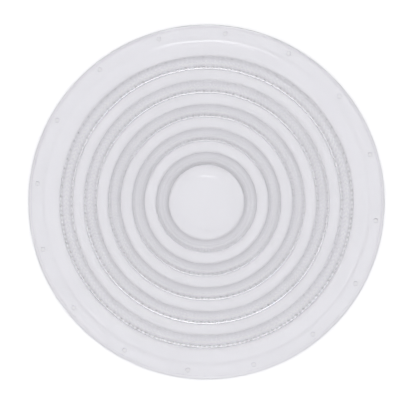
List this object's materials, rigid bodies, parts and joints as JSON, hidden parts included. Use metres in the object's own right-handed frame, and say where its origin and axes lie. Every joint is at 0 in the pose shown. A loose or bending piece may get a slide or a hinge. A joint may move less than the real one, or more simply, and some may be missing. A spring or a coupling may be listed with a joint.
{
  "type": "luminaire optic lens",
  "caption": "Clear round lens plate with concentric faceted ring lenses, a raised centre pad and a drilled mounting flange with a low rim.",
  "frame": {"origin": "centre of the rear face, on the optical axis", "axes": "+Z along the optical axis, the way the light leaves; +X and +Y lie in the rear face, with a screw hole 16.2 degrees from +X towards +Y"},
  "size_m": [0.3, 0.3, 0.0061],
  "materials": {
    "clear_plastic": "clear, glossy"
  },
  "bodies": {
    "root": {"optic_lens": "clear_plastic"}
  },
  "joints": []
}
